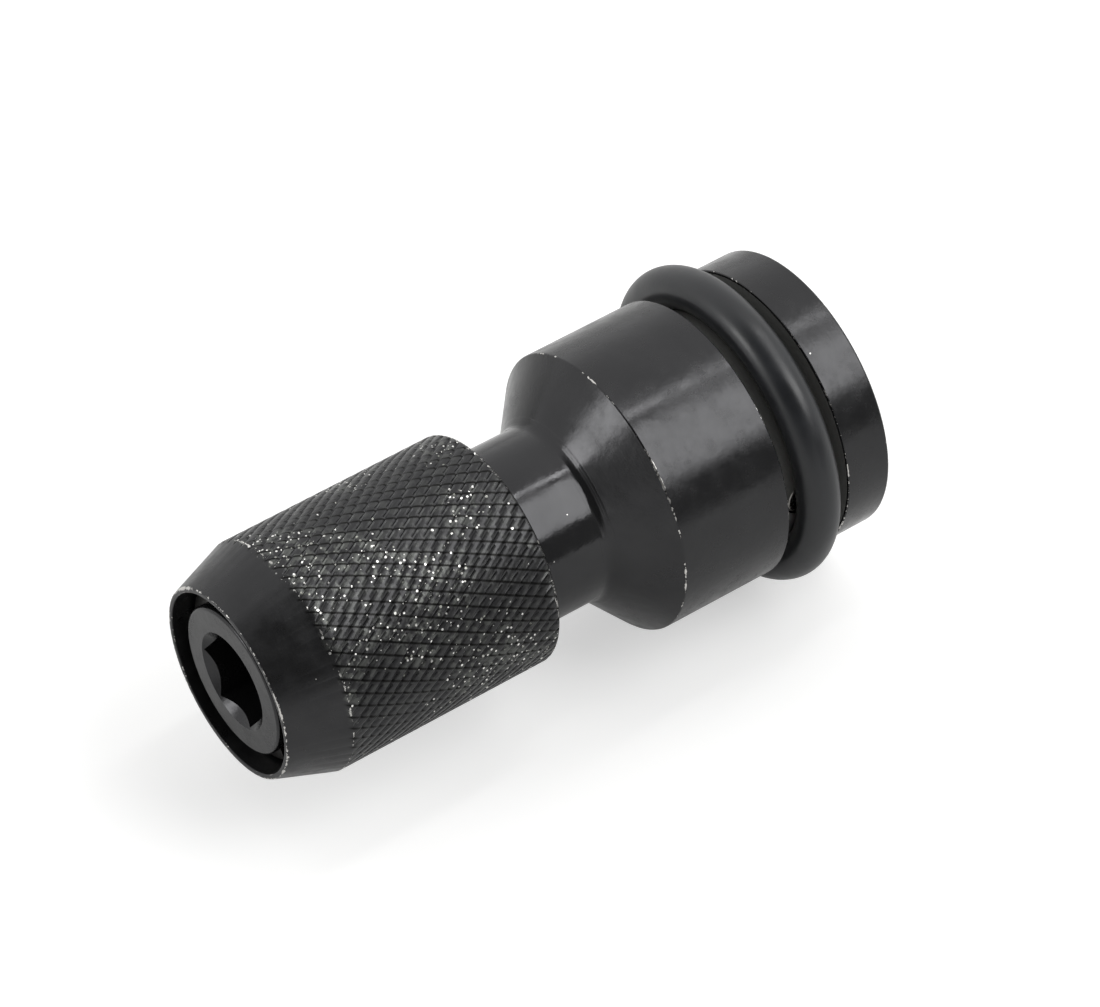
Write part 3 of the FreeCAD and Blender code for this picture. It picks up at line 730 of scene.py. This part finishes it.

# Knurled black oxide: duller than the turned body, with painted shade darkening the grooves, grey
# scuffs in patches 7 mm across, the faint second set of grooves that crosses the ridges, as a
# lighter painted shade and a faint bump, and bright points 0.1 to 0.2 mm across where the diamonds'
# tips have lost their black.
# Painted shade: the colour that the knurl's grooves are darkened to.
GROOVE_PAINTED_SHADE = "#141413"
BRIGHT_SPECK = "#F4F3EF"
DULL_SPECK = "#8E8F88"
WORN_GREY = "#6C6E6A"
WORN_PATCHES_PER_MM = 0.15
LEAST_SCUFFING = 0.1375
MOST_SCUFFING = 0.55
SCUFFS_PER_MM = 1.5
FADES_PER_MM = 0.7
SPECK_CELLS_PER_MM = 2.7
SMALLEST_SPECK = 0.13
LARGEST_SPECK = 0.27
FEWEST_SPECKS = 0.03
# Painted shade: how far the second wheel's lines are darkened, as a share of the first's.
SECOND_GROOVE_PAINTED_SHADE = 0.2
sleeve_steel, tree, shader = black_oxide("black_oxide_knurled_steel", [
    (RIM_RADIUS, 0, 0.17, 0.55),
    (RIM_BORE, 0, 0.14, 0.2),
    (GRIP_RADIUS, CONE_BACK, 0.14, 0.4),
    (GRIP_RADIUS, SLEEVE_BACK, 0.3, 0.5)], roughness=0.33)
spot, radius, station, angle = turned_coordinates(tree)


def helix_groove(direction, floor_edge, land_edge):
    """A mask that is 1 on the lines of one knurling wheel and fades to 0 at the land's edge.

    The two edges are distances round the sleeve from the middle of a line, in millimetres.
    """
    per_metre = direction * math.radians(helix) / MM
    lean = add_node(tree, "Math", {0: station, 1: -per_metre, 2: per_metre * place(CONE_BACK)},
                    operation="MULTIPLY_ADD")
    around = add_node(tree, "Math", {0: angle, 1: lean}, operation="ADD")
    gap = add_node(tree, "Math", {0: around, 1: math.pi / KNURL_STARTS}, operation="PINGPONG")
    return add_node(tree, "MapRange", {"Value": gap, "From Min": floor_edge / GRIP_RADIUS,
                                       "From Max": land_edge / GRIP_RADIUS, "To Min": 1.0, "To Max": 0.0},
                    interpolation_type="SMOOTHSTEP")


behind_cone = add_node(tree, "MapRange", {"Value": station, "From Min": place(CONE_BACK - 0.4),
                                          "From Max": place(CONE_BACK)}, interpolation_type="SMOOTHSTEP")
outside = add_node(tree, "MapRange", {"Value": radius, "From Min": (GRIP_RADIUS - 0.5) * MM,
                                      "From Max": (GRIP_RADIUS - 0.3) * MM}, interpolation_type="SMOOTHSTEP")
on_knurl = add_node(tree, "Math", {0: behind_cone, 1: outside}, operation="MULTIPLY")
first_groove = helix_groove(1, floor_edge=0.03, land_edge=0.15)
fades = add_node(tree, "TexNoise", {"Vector": spot, "Scale": FADES_PER_MM / MM, "Detail": 3.0})
clear = add_node(tree, "MapRange", {"Value": fades, "From Min": 0.38, "From Max": 0.62},
                 interpolation_type="SMOOTHSTEP")
second_groove = helix_groove(-1, floor_edge=0.02, land_edge=0.1)
second_groove = add_node(tree, "Math", {0: second_groove, 1: clear}, operation="MULTIPLY")
# Painted shade: the first wheel's grooves are darkened fully and the second wheel's lines a fifth as much.
second_groove_shade = add_node(tree, "Math", {0: second_groove, 1: SECOND_GROOVE_PAINTED_SHADE}, operation="MULTIPLY")
groove_shade = add_node(tree, "Math", {0: first_groove, 1: second_groove_shade}, operation="MAXIMUM")
groove_shade = add_node(tree, "Math", {0: groove_shade, 1: on_knurl}, operation="MULTIPLY")

patches = add_node(tree, "TexNoise", {"Vector": spot, "Scale": WORN_PATCHES_PER_MM / MM, "Detail": 2.0})
scuffs = add_node(tree, "TexNoise", {"Vector": spot, "Scale": SCUFFS_PER_MM / MM, "Detail": 4.0})
in_patch = add_node(tree, "MapRange", {"Value": patches, "From Min": 0.42, "From Max": 0.62,
                                       "To Min": LEAST_SCUFFING, "To Max": MOST_SCUFFING},
                    interpolation_type="SMOOTHSTEP")
on_scuff = add_node(tree, "MapRange", {"Value": scuffs, "From Min": 0.48, "From Max": 0.6},
                    interpolation_type="SMOOTHSTEP")
scuffed = add_node(tree, "Math", {0: in_patch, 1: on_scuff}, operation="MULTIPLY")
scuffed = add_node(tree, "Math", {0: scuffed, 1: on_knurl}, operation="MULTIPLY")
oxide = shader.inputs["Base Color"].links[0].from_socket
colour = add_node(tree, "Mix", {"Factor": scuffed, "A": oxide, "B": linear(WORN_GREY)}, data_type="RGBA")
colour = add_node(tree, "Mix", {"Factor": groove_shade, "A": colour, "B": linear(GROOVE_PAINTED_SHADE)}, data_type="RGBA")

cells = add_node(tree, "TexVoronoi", {"Vector": spot, "Scale": SPECK_CELLS_PER_MM / MM}).node.outputs
chances = add_node(tree, "SeparateColor", {0: cells["Color"]}).node.outputs
chance = add_node(tree, "MapRange", {"Value": patches, "From Min": 0.42, "From Max": 0.62,
                                     "To Min": FEWEST_SPECKS, "To Max": 1.0}, interpolation_type="SMOOTHSTEP")
chosen = add_node(tree, "Math", {0: chances["Red"], 1: chance}, operation="LESS_THAN")
size = add_node(tree, "MapRange", {"Value": chances["Green"], "To Min": SMALLEST_SPECK,
                                   "To Max": LARGEST_SPECK}, interpolation_type="SMOOTHSTEP")
inside = add_node(tree, "Math", {0: cells["Distance"], 1: size}, operation="LESS_THAN")
shine = add_node(tree, "MapRange", {"Value": chances["Blue"], "From Min": 0.1, "From Max": 0.5},
                 interpolation_type="SMOOTHSTEP")
speck = add_node(tree, "Mix", {"Factor": shine, "A": linear(DULL_SPECK), "B": linear(BRIGHT_SPECK)},
                 data_type="RGBA")
specks = add_node(tree, "Math", {0: inside, 1: chosen}, operation="MULTIPLY")
specks = add_node(tree, "Math", {0: specks, 1: on_knurl}, operation="MULTIPLY")
colour = add_node(tree, "Mix", {"Factor": specks, "A": colour, "B": speck}, data_type="RGBA")
tree.links.new(colour, shader.inputs["Base Color"])

uneven = shader.inputs["Normal"].links[0].from_socket
second_lines = add_node(tree, "Math", {0: second_groove, 1: on_knurl}, operation="MULTIPLY")
pressed = add_node(tree, "Bump", {"Height": second_lines, "Strength": 0.12, "Distance": 0.05 * MM,
                                  "Normal": uneven}, invert=True)
grit = add_node(tree, "Math", {0: scuffs, 1: on_knurl}, operation="MULTIPLY")
gritty = add_node(tree, "Bump", {"Height": grit, "Strength": 0.5, "Distance": 0.04 * MM, "Normal": pressed})
tree.links.new(gritty, shader.inputs["Normal"])
sleeve.data.materials.append(sleeve_steel)
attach(sleeve, "sleeve")
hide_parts("knurled_sleeve")

# Retaining pin: a ground steel pin through the drum, square to the drive, that keeps the adapter on
# the wrench's square. The rubber ring covers both its ends. Grinding leaves fine lines along it.
PIN_RADIUS = (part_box("retaining_pin")[1].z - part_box("retaining_pin")[0].z) / 2 / MM
PIN_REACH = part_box("retaining_pin")[1].x / MM
PIN_END_BEVEL = 0.3

bpy.ops.object.select_all(action="DESELECT")
bpy.ops.mesh.primitive_cylinder_add(vertices=96, radius=PIN_RADIUS * MM, depth=2 * PIN_REACH * MM,
                                    rotation=(0, math.pi / 2, 0), location=(0, place(PIN_STATION), 0))
pin = bpy.context.object
pin.name = "ground_retaining_pin"
bpy.ops.object.transform_apply()
bpy.ops.object.mode_set(mode="EDIT")
bpy.ops.mesh.select_mode(type="FACE")
bpy.ops.mesh.select_all(action="DESELECT")
bpy.ops.object.mode_set(mode="OBJECT")
for face in pin.data.polygons:
    face.select = len(face.vertices) > 4
bpy.ops.object.mode_set(mode="EDIT")
bpy.ops.mesh.bevel(offset=PIN_END_BEVEL * MM, segments=4)
bpy.ops.object.mode_set(mode="OBJECT")
finish_surface(pin, 40)
pin.data.materials.append(bright_steel("ground_pin_steel", "#9A9894", roughness=0.25,
                                       grain_per_mm=3.0, grain_stretch=(0.15, 1, 1)))
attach(pin, "adapter")
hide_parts("retaining_pin")

# Drive O-ring: a moulded nitrile rubber ring, stretched into the drum's groove over the pin's ends.
# The rubber is blue-black with a soft sheen, a bloom in clouds 2.5 mm across, and fine dimples from
# the mould.
RING_SECTION = (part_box("drive_o_ring")[1].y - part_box("drive_o_ring")[0].y) / 2 / MM
RING_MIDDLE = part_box("drive_o_ring")[1].x / MM - RING_SECTION
RUBBER_BLACK = "#151618"
RUBBER_BLOOM = "#1F2125"
RUBBER_IOR = 1.52
BLOOM_PER_MM = 0.4
DIMPLES_PER_MM = 2.6

bpy.ops.object.select_all(action="DESELECT")
bpy.ops.mesh.primitive_circle_add(vertices=64, radius=RING_SECTION * MM,
                                  location=(RING_MIDDLE * MM, place(PIN_STATION), 0), enter_editmode=True)
bpy.ops.mesh.spin(steps=224, angle=2 * math.pi, center=(0, 0, 0), axis=(0, 1, 0))
bpy.ops.mesh.select_all(action="SELECT")
bpy.ops.mesh.remove_doubles(threshold=1e-6)
bpy.ops.mesh.normals_make_consistent(inside=False)
bpy.ops.object.mode_set(mode="OBJECT")
ring = bpy.context.object
ring.name = "moulded_o_ring"
bpy.ops.object.transform_apply()
bpy.ops.object.shade_smooth()

rubber = bpy.data.materials.new("black_nitrile_rubber")
rubber.use_nodes = True
tree = rubber.node_tree
shader = tree.nodes["Principled BSDF"]
spot = add_node(tree, "TexCoord", output="Object")
bloom = add_node(tree, "TexNoise", {"Vector": spot, "Scale": BLOOM_PER_MM / MM, "Detail": 5.0})
colour = add_node(tree, "Mix", {"Factor": bloom, "A": linear(RUBBER_BLACK), "B": linear(RUBBER_BLOOM)},
                  data_type="RGBA")
rough = add_node(tree, "MapRange", {"Value": bloom, "From Min": 0.3, "From Max": 0.7,
                                    "To Min": 0.28, "To Max": 0.42})
dimples = add_node(tree, "TexNoise", {"Vector": spot, "Scale": DIMPLES_PER_MM / MM, "Detail": 3.0})
skin = add_node(tree, "Bump", {"Height": dimples, "Strength": 0.25, "Distance": 0.02 * MM})
shader.inputs["IOR"].default_value = RUBBER_IOR
tree.links.new(colour, shader.inputs["Base Color"])
tree.links.new(rough, shader.inputs["Roughness"])
tree.links.new(skin, shader.inputs["Normal"])
ring.data.materials.append(rubber)
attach(ring, "adapter")
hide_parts("drive_o_ring")
